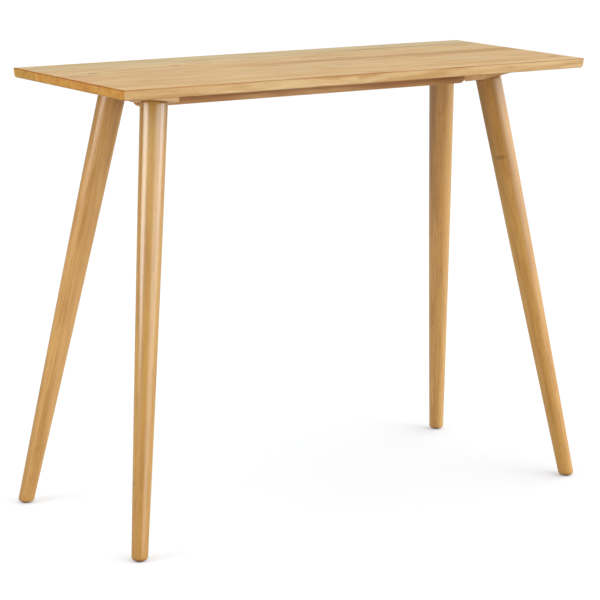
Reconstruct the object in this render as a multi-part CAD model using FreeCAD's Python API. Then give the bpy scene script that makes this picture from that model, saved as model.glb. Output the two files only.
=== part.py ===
import FreeCAD, Part
import os

from FreeCAD import Placement, Rotation, Vector

# A bar table of solid wood: an edge-glued top, a stiffening rail, and four round tapered legs
# that splay both ways and screw up against wedge blocks under the top.
# Millimetres. The floor is z = 0, the long side runs along x, and the middle of the table is x = y = 0.
# Front is -y, back is +y, left is -x and right is +x.

# Overall size
table_height = 1050.0
top_length = 1300.0
top_depth = 500.0

# Tabletop: full-length staves, a fine arris above, and edges that draw in below
top_thickness = 23.0
stave_count = 5
top_arris = 1.2
side_undercut = 0.6
side_round = 3.0
end_undercut = 2.5
end_round = 7.0

# Stiffening rail, on edge along the middle of the underside
rail_length = 950.0
rail_thickness = 22.0
rail_height = 52.0
rail_end_round = 18.0
rail_ease = 2.0
rail_dowel_count = 2
rail_dowel_inset = 115.0

# Wedge blocks: square in plan, cut off below at right angles to the leg that they carry
block_side = 82.0
block_thickness = 30.0
block_to_rail = 40.0
block_to_end = 129.0
block_ease = 4.0

# Legs: turned, widest at the head, with a slight belly, and splayed outwards both ways
leg_head_diameter = 63.0
leg_foot_diameter = 37.0
leg_belly = 1.2
leg_out_x = 146.0
leg_out_y = 174.0
leg_head_ease = 1.2
leg_stretch_count = 4
foot_stretch = 30.0
foot_ease = 5.0

# Hanger bolts in the leg heads, and the threaded inserts that they turn into
bolt_diameter = 8.0
bolt_in_leg = 45.0
bolt_end_room = 2.0
insert_diameter = 12.5
insert_cover = 10.0

# Glued dowels, all alike, that locate the blocks and the rail under the top
dowel_diameter = 8.0
dowel_length = 30.0
dowel_in_top = 14.0
dowel_inset = 10.0
dowel_end_room = 1.0

# Foot glides, stuck to the feet
glide_diameter = 18.0
glide_thickness = 3.0

# Room round what is screwed or driven in, how far a cut runs past a face, and when two points are one
fit_room = 0.1
cut_overrun = 5.0
touch = 0.0001

# Worked out from the sizes above
underside = table_height - top_thickness
block_x = top_length / 2 - block_to_end - block_side / 2
block_y = rail_thickness / 2 + block_to_rail + block_side / 2
head_centre = Vector(block_x, block_y, underside - block_thickness)
foot_centre = Vector(block_x + leg_out_x, block_y + leg_out_y, glide_thickness)
leg_length = (foot_centre - head_centre).Length
leg_down = (foot_centre - head_centre).normalize()
leg_place = Placement(head_centre, Rotation(Vector(0, 0, -1), leg_down))
insert_length = block_thickness / abs(leg_down.z) - insert_cover
dowel_top = underside + dowel_in_top
corners = {
    "front_left": (-1, -1),
    "front_right": (1, -1),
    "back_left": (-1, 1),
    "back_right": (1, 1),
}


# The edges of a shape whose ends and middle all pass a test
def edges_where(shape, test):
    found = []
    for edge in shape.Edges:
        middle = edge.valueAt((edge.FirstParameter + edge.LastParameter) / 2)
        points = [vertex.Point for vertex in edge.Vertexes] + [middle]
        if all(test(point) for point in points):
            found.append(edge)
    return found


# Brings a piece modelled at the back right corner to any corner of the table
def at_corner(shape, corner):
    sign_x, sign_y = corners[corner]
    if sign_x < 0:
        shape = shape.mirror(Vector(0, 0, 0), Vector(1, 0, 0))
    if sign_y < 0:
        shape = shape.mirror(Vector(0, 0, 0), Vector(0, 1, 0))
    return shape


# A long bar whose section is the tabletop's, with its arrises and drawn-in lower edges
def top_bar(width, undercut, lower_round, length):
    section = [
        Vector(0, -width / 2, table_height),
        Vector(0, width / 2, table_height),
        Vector(0, width / 2 - undercut, underside),
        Vector(0, undercut - width / 2, underside),
    ]
    bar = Part.Face(Part.makePolygon(section + section[:1])).extrude(Vector(length, 0, 0))
    bar.translate(Vector(-length / 2, 0, 0))
    for height, size in ((table_height, top_arris), (underside, lower_round)):
        level = edges_where(bar, lambda point: abs(point.z - height) < touch)
        bar = bar.makeFillet(size, [edge for edge in level if abs(edge.CenterOfMass.y) > touch])
    return bar


# A cube whose top face is centred on the origin, large enough to cut away all that lies below a face
def half_space():
    low = Vector(-leg_length / 2, -leg_length / 2, -leg_length)
    return Part.makeBox(leg_length, leg_length, leg_length, low)


# Where each dowel goes, as (x, y): across the lean of the leg in a block, and in a row along the rail
def block_dowel_places():
    reach = block_side / 2 - dowel_inset
    return [(block_x + reach, block_y - reach), (block_x - reach, block_y + reach)]


def rail_dowel_places():
    first = rail_dowel_inset - rail_length / 2
    step = -2 * first / (rail_dowel_count - 1)
    return [(first + i * step, 0) for i in range(rail_dowel_count)]


# An upright dowel, half in the top and half below it
def dowel(x, y):
    return Part.makeCylinder(dowel_diameter / 2, dowel_length, Vector(x, y, dowel_top - dowel_length))


# The blind holes for a dowel, with room round it and beyond both its ends
def dowel_hole(x, y):
    length = dowel_length + 2 * dowel_end_room
    low = Vector(x, y, dowel_top + dowel_end_room - length)
    return Part.makeCylinder(dowel_diameter / 2 + fit_room, length, low)


# The whole top as one slab, drilled for the dowels: its long and short edges differ, and meet in mitres
def top_slab():
    along = top_bar(top_depth, side_undercut, side_round, top_length + 2 * cut_overrun)
    across = top_bar(top_length, end_undercut, end_round, top_depth + 2 * cut_overrun)
    across.rotate(Vector(0, 0, 0), Vector(0, 0, 1), 90)
    slab = along.common(across)
    holes = [dowel_hole(x, y) for x, y in rail_dowel_places()]
    for x, y in block_dowel_places():
        holes += [at_corner(dowel_hole(x, y), corner) for corner in corners]
    return slab.cut(Part.makeCompound(holes))


# The staves, cut from the slab so that their glued faces meet and the edge shape runs across them
def top_staves():
    slab = top_slab()
    width = top_depth / stave_count
    length = top_length + 2 * cut_overrun
    height = top_thickness + 2 * cut_overrun
    staves = {}
    for i in range(stave_count):
        low = Vector(-length / 2, i * width - top_depth / 2, underside - cut_overrun)
        staves["top_stave_" + str(i + 1)] = slab.common(Part.makeBox(length, width, height, low))
    return staves


# The rail: its lower ends are rounded, its lower edges are eased, and it is dowelled to the top
def stiffening_rail():
    low = underside - rail_height
    corner = Vector(-rail_length / 2, -rail_thickness / 2, low)
    rail = Part.makeBox(rail_length, rail_thickness, rail_height, corner)
    low_ends = edges_where(rail, lambda point: abs(point.z - low) < touch)
    low_ends = [edge for edge in low_ends if abs(edge.CenterOfMass.x) > touch]
    rail = rail.makeFillet(rail_end_round, low_ends)
    for side in (-1, 1):
        face_edges = edges_where(rail, lambda point: abs(point.y - side * rail_thickness / 2) < touch)
        eased = [edge for edge in face_edges if edge.CenterOfMass.z < underside - touch]
        rail = rail.makeChamfer(rail_ease, eased)
    for x, y in rail_dowel_places():
        rail = rail.cut(dowel_hole(x, y))
    return rail


# A round bar along a leg's axis, from a distance below its head face to a distance above it
def along_leg(diameter, below, above):
    bar = Part.makeCylinder(diameter / 2, below + above, Vector(0, 0, -below))
    bar.Placement = leg_place
    return bar


# A threaded insert: a sleeve let into the block, flush with its lower face
def threaded_insert():
    sleeve = along_leg(insert_diameter, 0, insert_length)
    return sleeve.cut(along_leg(bolt_diameter + 2 * fit_room, cut_overrun, insert_length + cut_overrun))


# A hanger bolt: machine thread up into the insert, wood thread down into the leg
def hanger_bolt():
    return along_leg(bolt_diameter, bolt_in_leg, insert_length - bolt_end_room)


# A wedge block: its lower face is at right angles to the leg, and its rounded lower edges meet in mitres
def leg_block():
    half = block_side / 2
    depth = block_thickness + block_side
    low = Vector(block_x - half, block_y - half, underside - depth)
    wedge = Part.makeBox(block_side, block_side, depth, low)
    below = half_space()
    below.Placement = leg_place
    wedge = wedge.cut(below)
    lower = edges_where(wedge, lambda point: abs((point - head_centre).dot(leg_down)) < touch)
    ends = [edge for edge in lower if abs(abs(edge.CenterOfMass.x - block_x) - half) < touch]
    sides = [edge for edge in lower if abs(abs(edge.CenterOfMass.y - block_y) - half) < touch]
    block = wedge.makeFillet(block_ease, ends).common(wedge.makeFillet(block_ease, sides))
    for x, y in block_dowel_places():
        block = block.cut(dowel_hole(x, y))
    return block.cut(along_leg(insert_diameter + 2 * fit_room, cut_overrun, insert_length + fit_room))


# The radius of a leg at a distance below its head: a straight taper with a slight belly
def leg_radius(distance):
    share = distance / leg_length
    taper = (leg_head_diameter + (leg_foot_diameter - leg_head_diameter) * share) / 2
    return taper + 4 * leg_belly * share * (1 - share)


# One stretch of a leg's side, a parabola between two distances below the head
def leg_side(first, last):
    middle = (first + last) / 2
    ends = [Vector(leg_radius(distance), 0, -distance) for distance in (first, last)]
    bulge = Vector(leg_radius(middle), 0, -middle) * 2 - (ends[0] + ends[1]) / 2
    side = Part.BezierCurve()
    side.setPoles([ends[0], bulge, ends[1]])
    return side.toShape()


# A leg, turned along its own axis in a few stretches, then cut level and eased at the foot
def leg():
    turned_length = leg_length + leg_foot_diameter / 2
    long_side = turned_length - foot_stretch - leg_head_ease
    stations = [leg_head_ease + long_side * i / leg_stretch_count for i in range(leg_stretch_count + 1)]
    sides = [leg_side(first, last) for first, last in zip(stations, stations[1:])]
    rest = Part.makePolygon([
        Vector(leg_radius(stations[-1]), 0, -stations[-1]),
        Vector(leg_radius(turned_length), 0, -turned_length),
        Vector(0, 0, -turned_length),
        Vector(0, 0, 0),
        Vector(leg_radius(0) - leg_head_ease, 0, 0),
        Vector(leg_radius(leg_head_ease), 0, -leg_head_ease),
    ])
    outline = Part.Wire(sides + rest.Edges)
    blank = Part.Face(outline).revolve(Vector(0, 0, 0), Vector(0, 0, 1), 360)
    blank.Placement = leg_place
    below = half_space()
    below.translate(foot_centre)
    shaped = blank.cut(below)
    foot_rim = edges_where(shaped, lambda point: abs(point.z - foot_centre.z) < touch)
    shaped = shaped.makeChamfer(foot_ease, foot_rim)
    return shaped.cut(along_leg(bolt_diameter + 2 * fit_room, bolt_in_leg + fit_room, cut_overrun))


# A glide: a round pad stuck to the level foot
def foot_glide():
    return Part.makeCylinder(glide_diameter / 2, glide_thickness, Vector(foot_centre.x, foot_centre.y, 0))


# Every piece of the table, by the name of its node
def table_pieces():
    pieces = top_staves()
    pieces["stiffening_rail"] = stiffening_rail()
    one_of_each = {
        "leg_block": leg_block(),
        "leg": leg(),
        "hanger_bolt": hanger_bolt(),
        "foot_glide": foot_glide(),
    }
    for name, shape in one_of_each.items():
        for corner in corners:
            pieces[name + "_" + corner] = at_corner(shape, corner)
    pegs = [dowel(x, y) for x, y in block_dowel_places()]
    groups = {
        "threaded_inserts": [at_corner(threaded_insert(), corner) for corner in corners],
        "block_dowels": [at_corner(peg, corner) for corner in corners for peg in pegs],
        "rail_dowels": [dowel(x, y) for x, y in rail_dowel_places()],
    }
    for name, solids in groups.items():
        pieces[name] = Part.makeCompound(solids)
    return pieces


os.makedirs("parts", exist_ok=True)
for node, shape in table_pieces().items():
    box = shape.BoundBox
    print(node, "solids", len(shape.Solids), "valid", shape.isValid(), "volume", round(shape.Volume),
          "z", round(box.ZMin, 2), round(box.ZMax, 2))
    shape.exportStep("parts/" + node + ".step")
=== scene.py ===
import logging
import math
from dataclasses import dataclass, field, replace
from enum import Enum
from typing import Any

import bmesh
import bpy
import numpy as np
from mathutils import Matrix, Vector


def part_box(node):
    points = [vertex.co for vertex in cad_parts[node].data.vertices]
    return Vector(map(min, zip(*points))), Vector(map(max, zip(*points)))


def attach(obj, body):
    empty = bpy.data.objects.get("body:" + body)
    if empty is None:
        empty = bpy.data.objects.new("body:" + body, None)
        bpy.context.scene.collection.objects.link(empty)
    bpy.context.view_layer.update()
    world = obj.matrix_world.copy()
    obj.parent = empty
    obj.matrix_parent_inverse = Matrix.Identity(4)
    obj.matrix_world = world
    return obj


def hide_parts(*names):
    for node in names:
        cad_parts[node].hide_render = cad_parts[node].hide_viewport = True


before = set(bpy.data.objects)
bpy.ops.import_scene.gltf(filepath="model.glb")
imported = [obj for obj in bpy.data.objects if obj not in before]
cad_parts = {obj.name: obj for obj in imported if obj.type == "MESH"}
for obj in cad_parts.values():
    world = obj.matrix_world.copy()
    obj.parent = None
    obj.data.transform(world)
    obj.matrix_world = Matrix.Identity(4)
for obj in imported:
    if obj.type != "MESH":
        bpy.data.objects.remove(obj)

Colour = tuple[float, float, float, float]
Point = tuple[float, float, float]
Span = tuple[float, float]

MM = 0.001
FULL_TURN = 2 * math.pi
QUARTER_TURN = math.pi / 2
CRISP_FROM = math.radians(38)
CUT_CRISP_FROM = math.radians(32)
FLUTES_CRISP_FROM = math.radians(50)
CUTTER_SIDES = 48
HAIR = 1e-6
WHITE = (1.0, 1.0, 1.0, 1.0)
BODY = "root"
CORNERS = {"front_left": (-1, -1), "front_right": (1, -1), "back_left": (-1, 1), "back_right": (1, 1)}
STAVES = tuple(f"top_stave_{number}" for number in range(1, 6))
WEAR = "wear"
SEEDS = {"stave": (1.0, 1.7), "leg": (2.0, 3.1), "block": (5.0, 2.3), "rail": (12.3, 0.0),
         "block_dowels": (31.0, 0.0), "rail_dowels": (37.0, 0.0)}

log = logging.getLogger("bar_table")


class Slot(Enum):
    """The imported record's material slots of the pieces that are drawn anew."""

    RAIL = "rail_wood"
    BLOCK = "block_wood"
    LEG = "leg_wood"
    STEEL = "plated_steel"
    DOWEL = "dowel_wood"
    GLIDE = "glide_plastic"


class Grain(Enum):
    """The way the fibres run in a piece, as the angle and axis of the turn that brings them to x."""

    ALONG_X = (0.0, "X")
    ALONG_X_ON_EDGE = (QUARTER_TURN, "X")
    ALONG_Y = (-QUARTER_TURN, "Z")
    ALONG_Z = (QUARTER_TURN, "Y")

    def turn(self, place: Matrix | None = None) -> Matrix:
        """Gives the turn that brings a placed piece's fibres to x.

        Args:
            place: Where the piece was turned to, if it was.

        Returns:
            The turn.
        """
        angle, axis = self.value
        back = place.to_3x3().transposed() if place else Matrix.Identity(3)
        return Matrix.Rotation(angle, 3, axis) @ back


def linear(red: float, green: float, blue: float) -> Colour:
    """Turns a screen colour into the linear colour that a shader takes.

    Args:
        red: Red from 0 to 255.
        green: Green from 0 to 255.
        blue: Blue from 0 to 255.

    Returns:
        The linear colour with full opacity.
    """
    parts = [value / 255 for value in (red, green, blue)]
    lit = [part / 12.92 if part <= 0.04045 else ((part + 0.055) / 1.055) ** 2.4 for part in parts]
    return (lit[0], lit[1], lit[2], 1.0)


def heading(azimuth: float, rise: float) -> Vector:
    """Gives the way to a direction in degrees: azimuth 0 is the front and 90 the right."""
    turn, lift = math.radians(azimuth), math.radians(rise)
    return Vector((math.sin(turn) * math.cos(lift), -math.cos(turn) * math.cos(lift), math.sin(lift)))


def middle_of(node: str) -> Vector:
    """Gives the middle of a node's box."""
    low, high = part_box(node)
    return (low + high) / 2


def seed_of(kind: str, number: int = 0) -> float:
    """Gives a piece its own stretch of the tree, by its kind and its number among its like."""
    first, step = SEEDS[kind]
    return first + number * step


class NodeGraph:
    """The node tree of a material or a world, with short ways to add nodes and join them."""

    def __init__(self, owner: bpy.types.Material | bpy.types.World) -> None:
        """Empties the owner's tree and adds its coordinates.

        Args:
            owner: The material or world.
        """
        self.owner = owner
        owner.use_nodes = True
        self.tree = owner.node_tree
        self.tree.nodes.clear()
        self.place = self.add("TexCoord")

    def feed(self, socket: bpy.types.NodeSocket, value: Any) -> None:
        """Joins a socket to another, or sets it to a constant.

        Args:
            socket: The input to fill.
            value: An output socket, or a constant.
        """
        if isinstance(value, bpy.types.NodeSocket):
            self.tree.links.new(value, socket)
        else:
            socket.default_value = value

    def add(self, kind: str, inputs: dict[Any, Any] | None = None, **settings: Any) -> bpy.types.Node:
        """Adds a shader node.

        Args:
            kind: The node's type without its prefix.
            inputs: What goes into its inputs, by name or number.
            settings: Values of its properties.

        Returns:
            The new node.
        """
        node = self.tree.nodes.new("ShaderNode" + kind)
        for key, value in settings.items():
            setattr(node, key, value)
        for key, value in (inputs or {}).items():
            self.feed(node.inputs[key], value)
        return node

    def math(self, operation: str, *values: Any) -> Any:
        """Adds one step of arithmetic on sockets or numbers."""
        return self.add("Math", dict(enumerate(values)), operation=operation).outputs[0]

    def vector(self, operation: str, *values: Any) -> Any:
        """Adds one step of arithmetic on sockets or triples, and gives its vector."""
        return self.add("VectorMath", dict(enumerate(values)), operation=operation).outputs["Vector"]

    def measure(self, operation: str, *values: Any) -> Any:
        """Adds one step of arithmetic on sockets or triples, and gives its number."""
        return self.add("VectorMath", dict(enumerate(values)), operation=operation).outputs["Value"]

    def fade(self, value: Any, low: float, high: float, first: float = 0.0, last: float = 1.0) -> Any:
        """Fades smoothly from a first level to a last one as a value passes from low to high."""
        inputs = {"Value": value, "From Min": low, "From Max": high, "To Min": first, "To Max": last}
        return self.add("MapRange", inputs, interpolation_type="SMOOTHSTEP").outputs[0]

    def mix(self, share: Any, first: Any, second: Any, blend: str = "MIX") -> Any:
        """Mixes two colours; the share is how much of the second one there is."""
        return self.add("Mix", {0: share, 6: first, 7: second}, data_type="RGBA", blend_type=blend).outputs[2]

    def noise(self, vector: Any, scale: Point, detail: float = 2.0, roughness: float = 0.5) -> bpy.types.Node:
        """Adds cloudy noise, stretched by a scale for each axis.

        Args:
            vector: The place in the piece.
            scale: Clouds to the metre along x, y and z.
            detail: How many finer layers there are.
            roughness: How strong the finer layers are.

        Returns:
            The noise node.
        """
        stretched = self.vector("MULTIPLY", vector, scale)
        inputs = {"Vector": stretched, "Scale": 1.0, "Detail": detail, "Roughness": roughness}
        return self.add("TexNoise", inputs)

    def wear(self) -> Any:
        """Reads how exposed the surface is to wear, which the mesh builders store."""
        return self.add("Attribute", attribute_name=WEAR).outputs["Fac"]

    def bump(self, height: Any, strength: float, distance: float) -> Any:
        """Turns a height into small relief of the surface."""
        return self.add("Bump", {"Strength": strength, "Distance": distance, "Height": height}).outputs[0]

    def surface(self, inputs: dict[str, Any]) -> bpy.types.Material:
        """Ends a material with a surface shader that has these inputs."""
        self.add("OutputMaterial", {"Surface": self.add("BsdfPrincipled", inputs).outputs["BSDF"]})
        return self.owner


class Mottle(Enum):
    """Kinds of noise in wood.

    Each has its clouds to the metre along and across the fibres, its finer layers and how strong they are,
    and the levels between which it comes to show.
    """

    SLOW = (1.3, 7.0, 2.0, 0.5, 0.0, 1.0)
    UNEVEN = (2.0, 40.0, 1.0, 0.5, 0.0, 1.0)
    FIBRE = (6.0, 420.0, 3.0, 0.6, 0.0, 1.0)
    DASH = (6.5, 66.0, 3.0, 0.55, 0.42, 0.68)
    SPECK = (30.0, 330.0, 2.0, 0.6, 0.54, 0.72)
    PORE = (45.0, 1300.0, 1.0, 0.5, 0.6, 0.74)
    CLOUD = (1.6, 14.0, 3.0, 0.55, 0.35, 0.72)
    FLECK = (9.0, 60.0, 2.0, 0.5, 0.25, 0.7)

    def lay(self, graph: NodeGraph, place: Any) -> bpy.types.Node:
        """Adds the noise to a graph."""
        along, across, detail, roughness = self.value[:4]
        return graph.noise(place, (along, across, across), detail, roughness)

    def show(self, graph: NodeGraph, level: Any, first: float = 0.0, last: float = 1.0) -> Any:
        """Fades from a first share to a last one as the noise comes to show."""
        return graph.fade(level, *self.value[4:], first, last)


@dataclass(frozen=True)
class Knot:
    """A small soft knot in a face of the wood.

    Attributes:
        along: Its place along the grain, from the coordinates' origin, in metres.
        across: Its place across the grain.
        depth: Its place along the third axis, or None where it runs through the piece.
        radius: The radius of its dark core.
        strength: How dark it is, from 0 to 1.
        flat: How much shorter it is along the grain than across; below 1 it is longer.
        core: Where its core starts and ends to fade, as shares of the radius.
    """

    along: float
    across: float
    depth: float | None = None
    radius: float = 0.006
    strength: float = 0.6
    flat: float = 0.62
    core: Span = (0.25, 1.6)

    def lay(self, graph: NodeGraph, place: Any, x: Any, y: Any) -> Any:
        """Works out how dark the knot makes each place.

        Args:
            graph: The material's graph.
            place: The place, with the fibres along x.
            x: Its part along the grain.
            y: Its part across the grain.

        Returns:
            The darkness, from 0 to 1.
        """
        through = self.depth is None
        flat = graph.add("CombineXYZ", {"X": x, "Y": y}).outputs[0] if through else place
        offset = graph.vector("SUBTRACT", flat, (self.along, self.across, 0.0 if through else self.depth))
        far = graph.measure("LENGTH", graph.vector("MULTIPLY", offset, (self.flat, 1.0, 1.0)))
        return graph.fade(far, *(self.radius * share for share in self.core), self.strength, 0.0)


@dataclass(frozen=True)
class Streak:
    """A soft band of darker or lighter colour along the grain: a streak in the wood on the tabletop, painted
    light and painted shade on the legs and the rail.

    Attributes:
        across: The band's middle, across the grain, in metres.
        half_width: Half its width.
        start: Where it starts along the grain.
        strength: How strong it is, from 0 to 1.
        tint: Its colour.
        deep: Whether its middle is measured on the third axis instead.
        wander: How far it wanders from side to side.
        edge: Where its sides start and end to fade, as shares of its half width.
        rise: Where it fades in, from its start.
    """

    across: float
    half_width: float
    start: float
    strength: float
    tint: Colour
    deep: bool = False
    wander: float = 0.05
    edge: Span = (0.35, 1.25)
    rise: Span = (-0.12, 0.18)

    def lay(self, graph: NodeGraph, colour: Any, place: Any, cloud: Any) -> Any:
        """Lays the band over the wood.

        Args:
            graph: The material's graph.
            colour: The wood's colour so far.
            place: The place along the grain, across it, and on the third axis.
            cloud: A slow noise that makes the band wander.

        Returns:
            The colour with the band.
        """
        middle = graph.math("MULTIPLY_ADD", cloud, self.wander, place[2] if self.deep else place[1])
        off = graph.math("ABSOLUTE", graph.math("SUBTRACT", middle, self.across + self.wander / 2))
        side = graph.fade(off, *(self.half_width * share for share in self.edge), self.strength, 0.0)
        begins = graph.fade(place[0], *(self.start + shift for shift in self.rise))
        return graph.mix(graph.math("MULTIPLY", side, begins), colour, self.tint)


@dataclass(frozen=True)
class WoodFinish:
    """Solid lacquered wood: growth rings, fibres, pores, tone, knots, end grain, worn edges and gloss. On
    some pieces its bands, arrises and end grain also carry painted light and painted shade.

    Attributes:
        early: Colour of the wood grown early in a ring.
        late: Colour of the wood grown late in a ring.
        tone: Colour that clouds over the wood.
        end_grain_and_highlight_tint: Colour that end grain is multiplied by; above 1, as on the blocks, it
            also paints a highlight on the end-grain faces.
        edge_tint: Colour of the arrises, where lacquer and handling darken them.
        knot_tint: Colour of a knot's core.
        ring: Width of a growth ring.
        pith: Where the middle of the tree was, across the grain, in metres.
        figure: How far the rings wander.
        bulge: How far they bend round a knot.
        contrast: How much the rings show, from 0 to 1.
        cloud: How much the tone clouds over, from 0 to 1.
        dashes: How much short darker streaks show, from 0 to 1.
        flecks: How much the fine dark flecks show, from 0 to 1.
        edge_share: How much the arrises show, from 0 to 1.
        roughness: Lowest and highest roughness of the lacquer.
        specular: How strongly the wood itself mirrors, from 0 to 1.
        coat: Weight of the lacquer's own gloss.
        coat_roughness: Roughness of that gloss.
        coat_ior: Refractive index of the lacquer.
        knots: The knots in the piece.
        streaks: The bands in the piece: streaks in the wood, painted light and painted shade.
        seed_steps: How far a seed moves the piece in the tree, along each axis.
        stretch: How the rings are drawn out along the tree.
        unevenness: How uneven the rings are, in rings.
        ring_rise: Where late wood comes in within a ring.
        ring_fall: Where it goes out again.
        cut_across: How squarely a face has to cut the fibres to show as end grain.
        least_ring: Share of their contrast that the rings keep where they fade most.
        shade: How far the fibres vary the brightness, its lowest level, and how far a pore darkens it.
        patchy: Levels of the flecks between which an arris shows, and how fully it shows there.
        rubbed: How much rougher the arrises are.
        relief: Height of the fibres, of the late wood and of the pores in the surface.
        bump: Strength and depth of that relief.
    """

    early: Colour = linear(186, 153, 97)
    late: Colour = linear(165, 123, 68)
    tone: Colour = linear(186, 139, 82)
    end_grain_and_highlight_tint: Colour = linear(247, 216, 126)
    # edge_tint: Colour of the arrises, where lacquer and handling darken them; along the tabletop's arrises
    # it is painted shade.
    edge_tint: Colour = linear(146, 84, 32)
    knot_tint: Colour = linear(120, 78, 42)
    ring: float = 0.0042
    pith: Span = (0.03, -0.12)
    figure: float = 0.012
    bulge: float = 0.012
    contrast: float = 0.7
    cloud: float = 0.5
    dashes: float = 0.45
    flecks: float = 0.2
    edge_share: float = 0.6
    roughness: Span = (0.36, 0.5)
    specular: float = 0.35
    coat: float = 0.3
    coat_roughness: float = 0.16
    coat_ior: float = 1.6
    knots: tuple[Knot, ...] = ()
    streaks: tuple[Streak, ...] = ()
    seed_steps: Point = (3.7, 0.9, 1.3)
    stretch: Point = (0.03, 1.0, 1.0)
    unevenness: float = 1.6
    ring_rise: Span = (0.3, 0.86)
    ring_fall: Span = (0.9, 1.0)
    cut_across: Span = (0.45, 0.85)
    least_ring: float = 0.45
    shade: Point = (0.36, 0.82, 0.14)
    patchy: tuple[float, ...] = (0.2, 0.6, 0.65, 1.0)
    rubbed: float = 0.1
    relief: Point = (0.5, 0.3, 0.4)
    bump: Span = (0.25, 0.0003)

    def late_share(self, graph: NodeGraph, turned: Any, shifted: Any, slow: Any, cores: Any) -> Any:
        """Works out the growth rings: how much wood each place has that grew late in a ring.

        Args:
            graph: The material's graph.
            turned: The place, with the fibres along x.
            shifted: The place in the piece's own stretch of the tree.
            slow: The colour of the slow noise that makes the rings wander.
            cores: How dark the knots make the place, which the rings bend round.

        Returns:
            The share, from 0 to 1.
        """
        drift = graph.vector("SUBTRACT", slow, (0.5, 0.5, 0.5))
        drift = graph.vector("MULTIPLY", drift, (0.0, self.figure * 2, self.figure * 2))
        bulge = graph.add("CombineXYZ", {"Y": graph.math("MULTIPLY", cores, self.bulge)}).outputs[0]
        bent = graph.vector("ADD", graph.vector("ADD", turned, drift), bulge)
        from_pith = graph.vector("SUBTRACT", bent, (0.0, self.pith[0], self.pith[1]))
        radius = graph.measure("LENGTH", graph.vector("MULTIPLY", from_pith, self.stretch))
        uneven = graph.math("MULTIPLY", Mottle.UNEVEN.lay(graph, shifted).outputs[0], self.unevenness)
        phase = graph.math("FRACT", graph.math("MULTIPLY_ADD", radius, 1 / self.ring, uneven))
        return graph.math("MULTIPLY", graph.fade(phase, *self.ring_rise),
                          graph.fade(phase, *self.ring_fall, 1.0, 0.0))

    def edges(self, graph: NodeGraph) -> Any:
        """Says where the arrises are, from what the mesh builders store."""
        return graph.wear()

    def paint(self, name: str, turn: Matrix, seed: float, middle: Vector) -> bpy.types.Material:
        """Makes the material of one piece of wood.

        Args:
            name: The material's name.
            turn: The turn that brings the piece's fibres to x.
            seed: A number that gives this piece its own stretch of the tree.
            middle: The piece's middle.

        Returns:
            The material.
        """
        graph = NodeGraph(bpy.data.materials.new(name))
        angles = tuple(turn.to_euler())
        own = graph.vector("SUBTRACT", graph.place.outputs["Object"], tuple(middle))
        turned = graph.add("Mapping", {"Vector": own, "Rotation": angles}).outputs[0]
        shifted = graph.vector("ADD", turned, tuple(seed * step for step in self.seed_steps))
        place = tuple(graph.add("SeparateXYZ", {"Vector": turned}).outputs)
        cores: Any = 0.0
        for knot in self.knots:
            cores = graph.math("MAXIMUM", cores, knot.lay(graph, turned, place[0], place[1]))
        slow = Mottle.SLOW.lay(graph, shifted)
        fibre, dash, speck, pore, cloud, fleck = (
            kind.lay(graph, shifted).outputs[0] for kind in
            (Mottle.FIBRE, Mottle.DASH, Mottle.SPECK, Mottle.PORE, Mottle.CLOUD, Mottle.FLECK))
        late = self.late_share(graph, turned, shifted, slow.outputs["Color"], cores)
        pore = Mottle.PORE.show(graph, pore)

        shown = Mottle.FLECK.show(graph, fleck, self.contrast * self.least_ring, self.contrast)
        colour = graph.mix(graph.math("MULTIPLY", late, shown), self.early, self.late)
        colour = graph.mix(Mottle.CLOUD.show(graph, cloud, 0.0, self.cloud), colour, self.tone)
        for kind, level, share, tint in ((Mottle.DASH, dash, self.dashes, self.late),
                                         (Mottle.SPECK, speck, self.flecks, self.edge_tint)):
            colour = graph.mix(graph.math("MULTIPLY", kind.show(graph, level), share), colour, tint)
        for streak in self.streaks:
            colour = streak.lay(graph, colour, place, slow.outputs[0])
        spread, least, pitted = self.shade
        shade = graph.math("SUBTRACT", graph.math("MULTIPLY_ADD", fibre, spread, least),
                           graph.math("MULTIPLY", pore, pitted))
        grey = graph.add("CombineColor", {"Red": shade, "Green": shade, "Blue": shade}).outputs[0]
        colour = graph.mix(cores, graph.mix(1.0, colour, grey, "MULTIPLY"), self.knot_tint)

        normal = graph.add("Mapping", {"Vector": graph.place.outputs["Normal"], "Rotation": angles})
        facing = graph.add("SeparateXYZ", {"Vector": normal.outputs[0]}).outputs[0]
        # End grain takes its tint; above 1, as on the blocks, it is a painted highlight.
        end = graph.fade(graph.math("ABSOLUTE", facing), *self.cut_across)
        colour = graph.mix(end, colour, graph.mix(1.0, colour, self.end_grain_and_highlight_tint, "MULTIPLY"))
        # Arrises darken: wear on the built pieces, painted shade along the tabletop's arrises.
        edge = graph.math("MULTIPLY", self.edges(graph), self.edge_share)
        edge = graph.math("MULTIPLY", edge, graph.fade(fleck, *self.patchy))
        colour = graph.mix(edge, colour, self.edge_tint)

        gloss = graph.math("MULTIPLY_ADD", edge, self.rubbed, graph.fade(cloud, 0.3, 0.7, *self.roughness))
        fibres, rings, pores = self.relief
        height = graph.math("MULTIPLY_ADD", fibre, fibres, graph.math("MULTIPLY", late, rings))
        height = graph.math("SUBTRACT", height, graph.math("MULTIPLY", pore, pores))
        return graph.surface({
            "Base Color": colour,
            "Roughness": gloss,
            "IOR": 1.5,
            "Specular IOR Level": self.specular,
            "Coat Weight": self.coat,
            "Coat Roughness": self.coat_roughness,
            "Coat IOR": self.coat_ior,
            "Normal": graph.bump(height, *self.bump),
        })


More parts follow.
